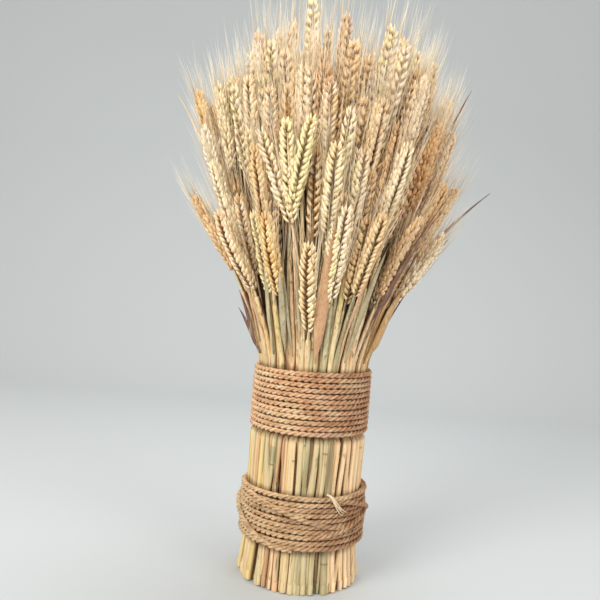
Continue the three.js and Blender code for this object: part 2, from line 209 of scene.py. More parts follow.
def outer_stalks():
    draw = numbers(7)
    stalks = []
    for i in range(OUTER_STRAWS):
        slot = i - FRONT_PLACE
        low = BACK_TIPS[i % len(BACK_TIPS)] + either_way(draw, 20)
        high_share = (low - BACK_HEIGHTS[0]) / (BACK_HEIGHTS[1] - BACK_HEIGHTS[0])
        if i < len(FRONT_EARS):
            tip, radius, swing = FRONT_EARS[i]
        else:
            tip, radius, swing = low, mix(*BACK_RADIUS, high_share), either_way(draw, 2)
        stalk = dict(slot=slot, angle=slot * 360 / OUTER_STRAWS, share=1, tip=tip, radius=radius, swing=swing)
        stalk["ear"] = ear_length(draw)
        stalk["roll"] = either_way(draw, 50)
        stalk["cut"] = 1.5 * next(draw) if i % 3 else 0
        if i in EAR_TONES:
            stalk["tone"] = EAR_TONES[i]
        stalks.append(stalk)
    return stalks


def ring_stalks(rings, seed, set_tips=()):
    """Stalks of rings inside the outer one."""
    draw = numbers(seed)
    stalks = []
    for r, (share, count, low, high, radius, first) in enumerate(rings):
        for i in range(count):
            tip = mix(low, high, next(draw))
            if (r, i) in set_tips:
                tip = set_tips[r, i]
            stalks.append(dict(angle=(i + first) * 360 / count, share=share, tip=tip,
                               radius=radius + either_way(draw, 4), swing=either_way(draw, 3),
                               ear=ear_length(draw), roll=either_way(draw, 90), cut=0.75 * (i % 3)))
    return stalks


def crossed_stalks():
    same = dict(share=1, ear=CROSSED_EAR_LENGTH, roll=10, cut=0.8)
    return [dict(zip(("angle", "tip", "radius", "swing", "tone"), row), **same) for row in CROSSED_EARS]


# Finishes


def feed(tree, inputs, values):
    """Links or sets a node's inputs, by their names or numbers."""
    for name, value in (values or {}).items():
        if isinstance(value, Value):
            value = value.socket
        if isinstance(value, bpy.types.NodeSocket):
            tree.links.new(value, inputs[name])
        else:
            inputs[name].default_value = value


def new_node(tree, kind, settings, sockets):
    node = tree.nodes.new(kind)
    for name, setting in (settings or {}).items():
        setattr(node, name, setting)
    feed(tree, node.inputs, sockets)
    return node


def operator(operation, swapped=False):
    """A method of Value that adds one Math node."""
    def work(self, other):
        pair = (other, self) if swapped else (self, other)
        return self.finish.node("Math", {"operation": operation}, dict(enumerate(pair)))

    return work


class Value:
    """A number that changes over a surface. Arithmetic on it adds Math nodes to its finish."""

    __add__ = __radd__ = operator("ADD")
    __mul__ = __rmul__ = operator("MULTIPLY")
    __sub__ = operator("SUBTRACT")
    __rsub__ = operator("SUBTRACT", swapped=True)

    def __init__(self, finish, socket):
        self.finish, self.socket = finish, socket

    def smooth(self, low, high):
        """0 below low, 1 above high, with a soft step between."""
        sockets = {"Value": self, "From Min": low, "From Max": high}
        return self.finish.node("MapRange", {"interpolation_type": "SMOOTHSTEP"}, sockets)


def colour(code):
    """A linear colour from its usual six-digit code."""
    parts = [int(code[i : i + 2], 16) / 255 for i in (0, 2, 4)]
    return (*[c / 12.92 if c <= 0.04045 else ((c + 0.055) / 1.055) ** 2.4 for c in parts], 1)


class Finish:
    """A material in the making, with one method that adds any node."""

    def __init__(self, name):
        self.material = bpy.data.materials.new(name)
        self.material.use_nodes = True
        self.tree = self.material.node_tree
        self.surface = self.tree.nodes["Principled BSDF"].inputs
        self.where = self.node("TexCoord", output=3)

    def node(self, kind, settings=None, sockets=None, output=0):
        """Adds a shader node with its settings and sockets, and returns one of its outputs."""
        return Value(self, new_node(self.tree, f"ShaderNode{kind}", settings, sockets).outputs[output])

    def done(self, tone, roughness, **bumps):
        """Sets the surface, with bumps of a height, strength and distance, and returns the material."""
        sockets = {"Base Color": tone, "Roughness": roughness}
        if bumps:
            sockets["Normal"] = self.node("Bump", None, bumps)
        feed(self.tree, self.surface, sockets)
        return self.material

    def named(self, name):
        return self.node("Attribute", {"attribute_name": name}, output=2)

    def places(self, x, y, z):
        return self.node("Mapping", None, {"Vector": self.where, "Scale": (x, y, z)})

    def from_axis(self):
        """Distance in metres from the sheaf's upright axis."""
        return self.node("VectorMath", {"operation": "LENGTH"}, {0: self.places(1, 1, 0)}, output=1)

    def place(self, axis):
        """An object coordinate in metres: 0 across, 1 front to back, 2 up from the cut ends."""
        return self.node("SeparateXYZ", None, {"Vector": self.where}, output=axis)

    def noise(self, where, detail=2.0, roughness=0.5):
        """Noise over object coordinates stretched along each axis, or over another vector."""
        if isinstance(where, tuple):
            where = self.places(*where)
        sockets = {"Vector": where, "Scale": 1.0, "Detail": detail, "Roughness": roughness}
        return self.node("TexNoise", None, sockets)

    def ramp(self, value, stops):
        """Colours a value by stops, each a place from 0 to 1 and a colour."""
        result = self.node("ValToRGB", None, {"Fac": value})
        elements = result.socket.node.color_ramp.elements
        while len(elements) < len(stops):
            elements.new(1.0)
        for element, (place, code) in zip(elements, stops.items()):
            element.position = place
            element.color = colour(code)
        return result

    def blend(self, first, second, factor):
        sockets = {0: factor, 6: first, 7: second}
        return self.node("Mix", {"data_type": "RGBA"}, sockets, output=2)

    def layered(self, tone, *layers):
        """Lays colours over a tone, each by its own share."""
        for code, share in layers:
            tone = self.blend(tone, colour(code), share)
        return tone


def straw_finish(name, stops, gap_shade_tone, gap_shade_depth, fan_shade_depth):
    """Dry straw: a tone for each straw, fine streaks, splits and stains, and a dark ring at a joint. Painted
    shade darkens the flanks that face its neighbours, deepest in the fan, and the straw under and just past
    the ties, and painted light brightens it low on the right."""
    look = Finish(name)
    across, height = look.place(0), look.place(2)

    def under(band):
        """1 below a band's cord, fading out just past its two edges."""
        low = band["bottom"] * MM
        high = low + band["turns"] * CORD_PITCH * MM
        return height.smooth(low - 0.006, low) * height.smooth(high + 0.007, high + 0.001)

    fan = height.smooth(FAN_START * MM, 0.235) * height.smooth(0.38, 0.3)
    broad = look.noise((110, 110, 12))
    streaks = look.noise((560, 560, 7), detail=4, roughness=0.6)
    splits = look.noise((330, 330, 4), detail=1).smooth(0.66, 0.71)
    stains = look.noise((80, 80, 36), detail=4, roughness=0.7).smooth(0.6, 0.7)
    worn_and_fan_shaded = look.layered(
        look.ramp(look.named("tint") + 0.2 * (broad - 0.5), stops),
        ("faecd0", streaks.smooth(0.5, 0.3) * (0.25 + 0.35 * fan)),
        ("a87848", streaks.smooth(0.52, 0.67) * 0.55),
        ("6b4a2a", splits * 0.7),
        ("7c5834", stains * 0.6),
        # The joint attribute also carries painted shade at the far end of a cut straw's bore
        ("59391d", look.named("joint") * 0.7),
        # Painted shade that darkens the straws deep in the fan
        ("3e2614", fan * fan_shade_depth),
    )
    # Painted shade: flanks that face neighbouring straws blend towards the gap's shade tone, more in the fan,
    # less at the sides
    flank = 1 - look.named("outward").smooth(-0.1, 0.7)
    side = (across * across).smooth(0.001, 0.0026) * height.smooth(0.2, 0.15)
    gap = look.layered(colour(gap_shade_tone), ("3a2212", fan * 0.75))
    shaded = look.layered(
        look.blend(worn_and_fan_shaded, gap, flank * (gap_shade_depth + 0.25 * fan - 0.3 * side)),
        # Painted shade under the cord bands and just past their edges
        ("5c3d1e", (under(UPPER_BAND) + under(LOWER_BAND)) * 0.6),
        # Painted light that brightens the straws low on the right
        ("ffe0b0", across.smooth(0.005, 0.05) * height.smooth(0.16, 0.13) * 0.2),
    )
    ribs = look.noise((1000, 1000, 7), detail=1)
    return look.done(shaded, 0.5 + 0.3 * streaks, Height=ribs, Strength=0.8, Distance=0.0006)


def husk_finish(name, stops):
    """Ripe chaff: paler towards each tip and at the sheaf's top, ruddy on the right, and finely veined, with
    painted shade that browns each husk's foot where it tucks under others."""
    look = Finish(name)
    along, tint, chance = [look.named(key) for key in ("along", "tint", "chance")]
    grain = look.noise((170, 170, 90), detail=3)
    veins = look.noise((1500, 1500, 110), detail=1)
    chaff = look.layered(
        look.ramp(tint + 0.34 * (chance - 0.5) + 0.2 * (grain - 0.5), stops),
        ("d6a674", look.place(0).smooth(0.0, 0.12) * tint.smooth(1.3, 1.0) * 0.36),
        # Painted shade at each husk's foot, where it tucks under others
        ("935a2c", (1 - along.smooth(0.1, 0.6)) * 0.56),
        ("fff4d8", along.smooth(0.5, 0.98) * 0.3),
        ("fff2dc", look.place(2).smooth(0.45, 0.55) * 0.3),
        ("b88a50", veins.smooth(0.52, 0.72) * 0.3),
    )
    return look.done(chaff, 0.45 + 0.25 * grain, Height=veins, Strength=0.4, Distance=0.0005)


def awn_finish(name, stops):
    """Bristles: straw gold at the husk, bleached towards the tip, browner low on the right."""
    look = Finish(name)
    along = look.named("along")
    tone = look.ramp(look.named("chance") * 0.35 + along * 0.65, stops)
    low_right = look.place(2).smooth(0.5, 0.36) * look.place(0).smooth(-0.02, 0.08)
    return look.done(look.layered(tone, ("b98258", low_right * 0.28)), 0.45 + 0.15 * along)


def cord_finish(name, stops, seat):
    """Twisted plant fibre: strands of uneven tone with fibres laid round each, and bleached in places.
    Painted shade makes it darker and more russet to the right, and painted light brightens the hollows to the
    left."""
    look = Finish(name)
    across, along = look.place(0), look.named("along")
    sockets = {"X": look.named("around") * 8 + along * 60, "Y": along * 45, "Z": look.named("tint") * 50}
    fibres = look.noise(look.node("CombineXYZ", None, sockets), detail=4, roughness=0.7)
    patches = look.noise((60, 60, 160), detail=3)
    grit = look.noise((420, 420, 420))
    bleached = look.noise((26, 26, 60)).smooth(0.52, 0.66)
    hollow = 1 - look.from_axis().smooth((seat + 1.8) * MM, (seat + CORD_DEPTH * 0.9) * MM)
    twine = look.layered(
        look.ramp(fibres * 0.95 + patches * 0.95 + grit * 0.4 - 0.69, stops),
        ("d8c69c", bleached * 0.4),
        # Painted shade, darker and russet, towards the right
        ("8f5430", across.smooth(-0.04, 0.045) * (1.2 - 0.7 * bleached) * 0.46),
        # Painted light that brightens the hollows between turns, on the left
        ("f2c898", hollow * across.smooth(0.035, -0.045) * 0.5),
    )
    return look.done(twine, 0.75 + 0.2 * fibres, Height=fibres, Strength=0.9, Distance=0.001)


def leaf_finish(name, stops):
    """A dried blade: parallel veins, and mottling from withering."""
    look = Finish(name)
    veins = look.noise((900, 900, 10))
    mottle = look.noise((160, 160, 14), detail=3)
    blade = look.layered(
        look.ramp(look.named("tint") + 0.14 * (mottle - 0.5), stops),
        ("f0dcb4", mottle.smooth(0.5, 0.3) * 0.4),
        ("6f4c2c", veins.smooth(0.5, 0.7) * 0.45),
    )
    return look.done(blade, 0.5 + 0.25 * veins, Height=veins, Strength=0.6, Distance=0.0007)


# Geometry trees


class Tree:
    """A Geometry Nodes tree in the making, with named inputs."""

    def __init__(self, name, **inputs):
        self.group = bpy.data.node_groups.new(name, "GeometryNodeTree")
        for label, kind in {"Geometry": "Geometry", **inputs}.items():
            self.group.interface.new_socket(label, in_out="INPUT", socket_type=f"NodeSocket{kind}")
        self.group.interface.new_socket("Geometry", in_out="OUTPUT", socket_type="NodeSocketGeometry")
        self.given = self.group.nodes.new("NodeGroupInput").outputs
        self.result = self.group.nodes.new("NodeGroupOutput").inputs

    def node(self, kind, settings=None, sockets=None):
        """Adds a node, a geometry node where kind doesn't name another sort, and returns its outputs."""
        kind = kind if "Node" in kind else f"GeometryNode{kind}"
        return new_node(self.group, kind, settings, sockets).outputs

    def named(self, name, kind="FLOAT"):
        return self.node("InputNamedAttribute", {"data_type": kind}, {"Name": name})["Attribute"]

    def store(self, geometry, name, value):
        sockets = {"Geometry": geometry, "Name": name, "Value": value}
        return self.node("StoreNamedAttribute", None, sockets)["Geometry"]

    def vector(self, operation, *values):
        return self.node("ShaderNodeVectorMath", {"operation": operation}, dict(enumerate(values)))

    def outward(self):
        """How squarely a surface faces away from the sheaf's upright axis, from -1 to 1."""
        place = self.node("InputPosition")[0]
        level = self.vector("NORMALIZE", self.vector("MULTIPLY", place, (1, 1, 0))[0])[0]
        return self.vector("DOT_PRODUCT", level, self.node("InputNormal")[0])["Value"]

    def finish(self, geometry):
        """Makes copies real, shades them smoothly and gives them their finish."""
        real = self.node("RealizeInstances", None, {"Geometry": geometry})[0]
        marked = self.store(real, "outward", self.outward())
        smooth = self.node("SetShadeSmooth", None, {"Geometry": marked})[0]
        sockets = {"Geometry": smooth, "Material": self.given["Finish"]}
        feed(self.group, self.result, {0: self.node("SetMaterial", None, sockets)[0]})
        return self.group


def growth_tree():
    """Sets a copy of a shape on each point: its length runs along way, and its back faces face."""
    tree = Tree("growth_on_points", Shape="Object", Finish="Material")
    shape = tree.node("ObjectInfo", None, {"Object": tree.given["Shape"]})["Geometry"]
    way, face, size = [tree.named(name, "FLOAT_VECTOR") for name in ("way", "face", "size")]
    along = tree.node("FunctionNodeAlignRotationToVector", {"axis": "Z"}, {"Vector": way})[0]
    settings, sockets = {"axis": "Y", "pivot_axis": "Z"}, {"Rotation": along, "Vector": face}
    turned = tree.node("FunctionNodeAlignRotationToVector", settings, sockets)[0]
    sockets = {"Points": tree.given["Geometry"], "Instance": shape, "Rotation": turned, "Scale": size}
    return tree.finish(tree.node("InstanceOnPoints", None, sockets)[0])


def limb_tree():
    """Sweeps a round section along each path, as thick as its points' girth."""
    tree = Tree("limbs_along_paths", Sides="Int", Finish="Material")
    path = tree.node("MeshToCurve", None, {"Mesh": tree.given["Geometry"]})[0]
    measured = tree.store(path, "along", tree.node("SplineParameter")["Length"])
    sockets = {"Resolution": tree.given["Sides"], "Radius": 1.0}
    ring = tree.node("CurvePrimitiveCircle", None, sockets)[0]
    marked = tree.store(ring, "around", tree.node("SplineParameter")["Factor"])
    sockets = {"Curve": measured, "Profile Curve": marked, "Scale": tree.named("girth"), "Fill Caps": True}
    return tree.finish(tree.node("CurveToMesh", None, sockets)[0])


def plain_mesh(name, points, edges=(), faces=(), **attributes):
    """A mesh in metres from points in millimetres, with its points' attributes."""
    mesh = bpy.data.meshes.new(name)
    mesh.from_pydata((np.asarray(points, float) * MM).tolist(), edges, faces)
    for key, values in attributes.items():
        values = np.asarray(values, float)
        vector = values.ndim == 2
        layer = mesh.attributes.new(key, "FLOAT_VECTOR" if vector else "FLOAT", "POINT")
        layer.data.foreach_set("vector" if vector else "value", values.ravel().astype(np.float32))
    return mesh


def placed_object(name, data):
    thing = bpy.data.objects.new(name, data)
    bpy.context.collection.objects.link(thing)
    return thing


def grown(name, tree, rows, **inputs):
    """A plain mesh object from what a tree makes of gathered points."""
    source = placed_object(name, rows.mesh(name))
    modifier = source.modifiers.new("growth", "NODES")
    modifier.node_group = tree
    for item in tree.interface.items_tree:
        if item.in_out == "INPUT" and item.name in inputs:
            modifier[item.identifier] = inputs[item.name]
    result = bpy.data.meshes.new_from_object(source.evaluated_get(bpy.context.evaluated_depsgraph_get()))
    bpy.data.objects.remove(source)
    # Realised shapes bring an empty slot with them, and each piece here has one finish
    result.materials.clear()
    result.materials.append(inputs["Finish"])
    result.polygons.foreach_set("material_index", np.zeros(len(result.polygons), np.int32))
    return placed_object(name, result)


class Rows:
    """Points in millimetres with their attributes, gathered bit by bit."""

    def __init__(self):
        self.rows, self.edges, self.count = {}, [], 0

    def gather(self, **rows):
        """Adds rows of values, or one value for all the points."""
        count = len(rows["points"])
        for key, values in rows.items():
            values = np.asarray(values, float)
            shape = (count, 3) if key in ("points", "way", "face", "size") else (count,)
            self.rows.setdefault(key, []).append(np.broadcast_to(values, shape))
        self.count += count

    def mesh(self, name):
        rows = {key: np.concatenate(parts) for key, parts in self.rows.items()}
        return plain_mesh(name, rows.pop("points"), self.edges, **rows)


class Paths(Rows):
    """Centre lines with the girth, tint and joints of their points."""

    def add(self, points, girth, tint, joint=0.0):
        self.edges += [(self.count + i, self.count + i + 1) for i in range(len(points) - 1)]
        self.gather(points=points, girth=np.asarray(girth) * MM, tint=tint, joint=joint)


class Growths(Rows):
    """Points that each carry one copy of a small shape."""

    def add(self, points, way, face, size, tint, chance):
        self.gather(points=points, way=way, face=face, size=np.asarray(size) * MM, tint=tint, chance=chance)


# Small shapes that repeat

# Each is one long, along Z: sides, shift of its tip, and rows of height, half width, back, front and shift.
# Husks are plump and keeled along their back (+Y), and an awn bends by twelve of its own radii
SHAPES = {
    "awn": (3, 12, [(0, 1, 1, 1, 0), (0.4, 0.72, 0.72, 0.72, 1.92)]),
    "fine_husk": (5, 0.02, [
        (0, 0.2, 0.18, 0.14, 0), (0.36, 0.52, 0.5, 0.2, 0.08), (0.72, 0.36, 0.38, 0.14, 0.06),
    ]),
    "small_husk": (4, 0, [
        (0, 0.22, 0.2, 0.14, 0), (0.4, 0.52, 0.52, 0.2, 0.08), (0.76, 0.3, 0.34, 0.12, 0.05),
    ]),
    "plain_husk": (4, 0, [(0, 0.24, 0.2, 0.14, 0), (0.45, 0.52, 0.5, 0.2, 0.08)]),
}


def skinned(name, points, rings, sides, caps=(), **attributes):
    """A small object whose skin runs over rings of points, one after another."""
    pairs = [(i, (i + 1) % sides) for i in range(sides)]
    bases = range(0, (rings - 1) * sides, sides)
    faces = [(base + i, base + j, base + sides + j, base + sides + i) for base in bases for i, j in pairs]
    mesh = plain_mesh(name, np.array(points) / MM, (), [*faces, *caps], **attributes)
    return bpy.data.objects.new(name, mesh)


def pointed_shape(name, sides, tip_shift, rows):
    turns = np.arange(sides) * TURN / sides
    points, along, caps = [], [], []
    for height, wide, back, front, shift in rows:
        deep = np.where(np.sin(turns) > 0, back, front)
        points += list(zip(wide * np.cos(turns), deep * np.sin(turns) + shift, np.full(sides, height)))
        along += [height] * sides
    foot, last = len(points), len(points) - sides
    for i in range(sides):
        j = (i + 1) % sides
        caps += [(foot, j, i), (last + i, last + j, foot + 1)]
    points += [(0, 0, 0), (0, tip_shift, 1)]
    return skinned(name, points, len(rows), sides, caps, along=[*along, 0, 1])


def cut_end_shape(name, sides):
    """The hollow cut end of a straw: a bore with painted shade at its far end, the cut rim, and the wall."""
    rows = [(0, 7), (0.66, 7), (0.74, 0.3), (0.76, 0), (0.98, 0), (1, 0.03), (1, 0.5), (1, 9), (0, 9)]
    turns = np.arange(sides) * TURN / sides
    points = [(r * math.cos(t), r * math.sin(t), height) for r, height in rows for t in turns]
    # Painted shade: the bore's far end is marked dark through the joint attribute
    dark = np.repeat([1.0 if i < 2 else 0.0 for i in range(len(rows))], sides)
    return skinned(name, points, len(rows), sides, joint=dark)


# Ears

# Husks of a spikelet: shift across, outwards and upwards, sideways lean, length, width, whether it is awned
HUSKS = [
    (-2.5, 1.5, 0.0, -17, 8.4, 4.7, False),
    (2.5, 1.5, 0.0, 17, 8.4, 4.7, False),
    (-1.5, 2.4, 1.1, -9, 10.4, 4.7, True),
    (1.5, 2.4, 1.1, 9, 10.4, 4.7, True),
    (0.0, 3.2, 2.8, 0, 9.4, 4.4, False),
]
HUSK_LEAN = (20, 31)
AWN_LENGTH = (34, 76)
AWN_SPREAD = (3, 15)
FULL_LEAN = 13.0
# How far small lowest husks stand below the ear's body
LOW_HUSKS = 7


def ear_frame(stalk):
    """An ear's neck, and the ways up, out and across it."""
    neck, tip = stalk_points(stalk, [neck_height(stalk) - LOW_HUSKS, stalk["tip"]])
    up = unit(tip - neck)
    second = unit(np.cross(up, [neck[0], neck[1], 0]))
    first = np.cross(second, up)
    c, s = math.cos(math.radians(stalk["roll"])), math.sin(math.radians(stalk["roll"]))
    return neck, up, c * first + s * second, c * second - s * first


def add_awns(awns, draw, ear, roots, out, lean, kept):
    """Bristles that go on from the husks' tips, and bend back towards the ear's own way."""
    neck, up, first, length = ear
    count = len(roots)
    room = (length + AWN_REACH - (roots - neck) @ up) * draw.uniform(0.6, 1.0, count)
    run = np.minimum(room, draw.uniform(*AWN_LENGTH, count))
    spread = np.tan(np.radians(draw.uniform(*AWN_SPREAD, count)))[:, None]
    drift = (math.sin(math.radians(lean)) * 0.7 + draw.normal(size=count) * 0.05)[:, None]
    thick = draw.uniform(0.18, 0.26, count)
    size = np.stack([thick, thick * draw.uniform(0.4, 1.5, count), run], -1)
    aim = unit(up + out * spread + first * drift)
    back = -out - first * 0.4 * np.sign(lean)
    awns.add(roots[kept], aim[kept], back[kept], size[kept], 0.0, draw.random(int(kept.sum())))


def grow_ear(stalk, husks, awns, draw, tint, levels, husk_rows, awn_share):
    """Adds an ear: spikelets left and right by turns, each a fan of husks, the middle ones awned."""
    neck, up, first, second = ear_frame(stalk)
    length = stalk["ear"] + LOW_HUSKS
    places = 1.5 + (length - 13) * (np.arange(levels) + 0.5 * draw.random(levels)) / (levels - 0.5)
    outline = np.minimum(1, np.minimum(0.62 + 1.5 * places / length, 0.5 + 1.7 * (1 - places / length)))
    side = np.where(np.arange(levels) % 2, -1.0, 1.0)[:, None]
    out = side * second
    bow = 1.6 * draw.normal() * np.sin(np.pi * places / length)
    opened = draw.uniform(0.6, 1.1)
    for across, outward, lift, lean, reach, width, awned in HUSKS[:husk_rows]:
        open_share = np.clip(1.3 * (1 - places / length), 0, 1)
        lean_out = np.radians(opened * mix(*HUSK_LEAN, open_share) + 5 * draw.normal(size=levels))[:, None]
        lean_side = np.radians(lean + 6 * draw.normal(size=levels))[:, None]
        way = unit(up * np.cos(lean_out) + out * np.sin(lean_out) + first * np.sin(lean_side))
        root = neck + up * (places + lift * outline + 0.3 * draw.normal(size=levels))[:, None]
        root = root + first * (across * outline + bow)[:, None] + out * (outward * outline)[:, None]
        grow = outline * draw.uniform(0.88, 1.1, levels)
        size = np.stack([width * grow, width * 0.9 * grow, reach * (0.35 + 0.65 * grow)], -1)
        husks.add(root, way, out + first * (lean / FULL_LEAN), size, tint, draw.random(levels))
        if awned:
            ear = (neck, up, first, length)
            kept = draw.random(levels) < awn_share * (0.6 + 0.8 * places / length)
            add_awns(awns, draw, ear, root + way * size[:, 2:] * 0.93, out, lean, kept)
    # The end spikelet stands straight up, a quarter turn round
    for across, _, lift, lean, reach, width, _ in HUSKS[:4]:
        root = neck + up * (length - 11.5 + lift) + second * across * 0.5
        way = unit(up + second * math.sin(math.radians(lean)))
        size = (width * 0.7, width * 0.6, reach * 0.9)
        husks.add([root], way, first + second * lean / FULL_LEAN, size, tint, draw.random())
    awns.add([neck + up * (length - 3)], up, first, (0.22, 0.1, AWN_REACH), 0.0, 0.5)


# Straws

# Heights of a straw's points: even steps to the first, these in the ties, and even steps from the last
STRAW_STEPS = [130, 138.4, 140, 141, 142, 144, 165, 185, 200]
# A straw's own drift is gone above a height, after a fade, and its waves have these spans. Its slant is full
# at a distance from the ties' middle
DRIFT_TOP, DRIFT_FADE, DRIFT_SPANS = 250, 60, (24, 38, 61)
TIES_MIDDLE, SLANT_RUN = 115, 50
# A straw's two joints are drawn in these spans. A sheath starts above a joint that is lower than the limit,
# or else at a drawn height, and has a drawn length. In the fan it has a fixed start and a drawn end
JOINT_HEIGHTS = [(8, 330), (225, 330)]
SHEATH_JOINT_LIMIT, SHEATH_STARTS, SHEATH_LENGTHS = 200, (20, 130), (50, 110)
FAN_SHEATH_START, FAN_SHEATH_ENDS = 196, (236, 330)


def straw_line(stalk, draw, sink=0.0, drift=0.0, slant=0.0):
    """A function that gives a straw's centre line at heights, with its own slant and slow drift."""
    waves = [(drift * draw.normal(), span, TURN * draw.random()) for span in DRIFT_SPANS]
    lean = slant * draw.normal()

    def line(heights):
        points = stalk_points(stalk, heights)
        out = unit(points * [1, 1, 0] + [1e-9, 0, 0])
        round_way = np.stack([-out[:, 1], out[:, 0], out[:, 2]], -1)
        low = eased((DRIFT_TOP - heights) / DRIFT_FADE)[:, None]
        swing = sum(size * np.sin(heights / span + start) for size, span, start in waves)[:, None]
        swing = swing + lean * np.clip((heights - TIES_MIDDLE) / SLANT_RUN, -1, 1)[:, None]
        return points + low * (round_way * swing - out * sink)

    return line


def straw_tint(stalk, draw):
    """A straw's tone: often greyish green in the middle of the front, and pinkish tan to its right."""
    tint = draw.random()
    angle = (stalk["angle"] + 180) % 360 - 180
    if draw.random() < 0.7 and -12 < angle < 24:
        return 0.22 * tint
    if draw.random() < 0.7 and 24 < angle < 64:
        return 0.78 + 0.08 * tint
    return tint


def add_straw(paths, line, draw, foot, neck, girth, tint, neck_girth):
    """A straw from its foot to its neck, swollen and dark at up to two joints. Returns their heights."""
    drawn = [draw.uniform(*span) for span in JOINT_HEIGHTS]
    joints = [joint for joint in drawn if foot + 6 < joint < neck - 30]
    low = [*np.linspace(foot, STRAW_STEPS[0], 9), *STRAW_STEPS[1:-1]]
    rows = [low if foot < STRAW_STEPS[0] else [foot], np.linspace(STRAW_STEPS[-1], neck, 10)]
    rows += [[joint + step for step in (-1.3, -0.5, 0.5, 1.3)] for joint in joints]
    heights = np.unique(np.concatenate(rows))
    heights = heights[heights >= foot]
    middle = (FAN_START + neck) / 2
    girths = [girth, girth * 0.96, mix(girth, neck_girth, 0.4), neck_girth]
    thick = np.interp(heights, [0, FAN_START, middle, neck], girths)
    ring = np.zeros(len(heights))
    for joint in joints:
        ring = np.maximum(ring, np.clip(1.3 - abs(heights - joint) / 1.1, 0, 1))
    paths.add(line(heights), thick * (1 + 0.08 * ring), tint, ring)
    return joints


def add_sheath(paths, line, start, end, girth, tint):
    """A dry leaf sheath: a wider skin round a straw, drawn in at its mouth."""
    shares = np.linspace(0, 1, max(5, int((end - start) / 15)))
    shares = np.concatenate([shares[:-1], [0.97, 1]])
    thick = girth * np.interp(shares, [0, 0.04, 0.8, 0.97, 1], [0.92, 1, 1, 0.9, 0.76])
    paths.add(line(mix(start, end, shares)), thick, tint)


def add_cut_end(cuts, line, cut, girth, tint):
    foot = line(np.array([cut + 1.0]))[0]
    cuts.add([(foot[0], foot[1], cut)], (0, 0, 1), (0, 1, 0), (girth * 1.012, girth * 1.012, 1), tint, 0.5)


# Leaves

# A blade's width along its length, as shares of both, its points along and across, and half its thickness
BLADE_PLACES = [0, 0.08, 0.22, 0.45, 0.7, 0.9, 1]
BLADE_WIDTHS = [0.06, 0.36, 0.78, 1, 0.82, 0.4, 0.04]
BLADE_ROWS, BLADE_COLUMNS, BLADE_SKIN = 18, 5, 0.28


def blade_points(stalk, leaf, draw):
    """The two skins of a dry blade, folded along its midrib, twisted, and clasping its straw."""
    _, foot, run, width, off_foot, off_tip, swing, twist, _ = leaf
    shares = np.linspace(0, 1, BLADE_ROWS)
    free = eased(shares / 0.25)
    off = mix(2.2, mix(off_foot, off_tip, shares**2), free)
    centre = stalk_points(stalk, foot + run * shares, off, swing * shares)
    curl = np.radians(free * (twist + 14 * np.sin(shares * 5 + foot)))
    turn = np.arctan2(centre[:, 1], centre[:, 0]) + curl
    out = around(1, turn, 0 * turn)
    flat = np.stack([-np.sin(turn), np.cos(turn), 0 * turn], -1)
    half = width / 2 * np.interp(shares, BLADE_PLACES, BLADE_WIDTHS)
    ruffle = [0.3 * draw.normal() * np.sin(shares * 9 + 6 * draw.random()) for _ in range(BLADE_COLUMNS)]
    grid = []
    for skin in (BLADE_SKIN, -BLADE_SKIN):
        for c in range(BLADE_COLUMNS):
            across = 2 * c / (BLADE_COLUMNS - 1) - 1
            fold = 0.34 * half * (1 - abs(across)) + ruffle[c] * abs(across)
            raised = mix(1.4 * (1 - across**2), fold, free) + skin
            grid.append(centre + flat * (half * across)[:, None] + out * raised[:, None])
    return np.concatenate(grid)


def blade_faces(base):
    """Faces of a blade whose two skins are grids of points, closed round the edge."""
    front = [base + BLADE_ROWS * c for c in range(BLADE_COLUMNS)]
    back = [start + BLADE_ROWS * BLADE_COLUMNS for start in front]
    ring, end = front + back[::-1], BLADE_ROWS - 1
    pairs = zip(ring, ring[1:] + ring[:1])
    faces = [(a + r, b + r, b + r + 1, a + r + 1) for a, b in pairs for r in range(end)]
    for c in range(BLADE_COLUMNS - 1):
        faces.append((front[c], back[c], back[c + 1], front[c + 1]))
        faces.append((front[c] + end, front[c + 1] + end, back[c + 1] + end, back[c] + end))
    return faces


def leaf_piece(stalks):
    draw = np.random.default_rng(400)
    points, faces, tints = [], [], []
    for leaf in LEAVES:
        stalk = next(s for s in stalks if s["slot"] == leaf[0])
        faces += blade_faces(len(points))
        points += blade_points(stalk, leaf, draw).tolist()
        tints += [leaf[-1]] * (2 * BLADE_ROWS * BLADE_COLUMNS)
    leaves = placed_object("dry_leaves", plain_mesh("dry_leaves", points, (), faces, tint=tints))
    leaves.data.materials.append(leaf_finish("dry_leaf", LEAF_TONES))
    leaves.data.shade_smooth()
    return leaves


# Cord


def seated(band):
    """Radius of a band's inner wall."""
    return band["straw_line"] + STRAW_RADIUS + SEAT_GAP


def wandering(draw, turn, rates):
    """Slow waves of drawn size along a cord, by how many of each go into a turn."""
    return sum(draw.normal() * np.sin(TURN * (turn * rate + draw.random())) for rate in rates)


def cord_route(band, draw):
    """The cord's centre line round the straws, with its two ends tucked in at the back."""
    turn = np.linspace(0, band["turns"], band["turns"] * TURN_STEPS)
    waves = band["loose"] * wandering(draw, turn, (0.31, 0.77, 1.9, 3.3))
    lifts = band["loose"] * wandering(draw, turn, (0.43, 1.3, 2.7, 4.1))
    tuck = 3.2 * eased(1 - np.minimum(turn, band["turns"] - turn) * 18)
    radius = seated(band) + CORD_DEPTH * 0.52 + 0.1 * waves - tuck
    height = band["bottom"] + CORD_PITCH * (turn + 0.5) + 0.17 * lifts
    return around(radius, TURN * turn + math.pi / 2, height)


def crossing_route(band, start, end, proud):
    """A turn that slips over the others, from one angle and height to another."""
    share = np.linspace(0, 1, 120)
    angle = np.radians(mix(start[0], end[0], share) - 90)
    radius = seated(band) + CORD_DEPTH * 0.5 + proud * eased(np.minimum(share, 1 - share) * 5)
    return around(radius, angle, mix(start[1], end[1], eased(share)))


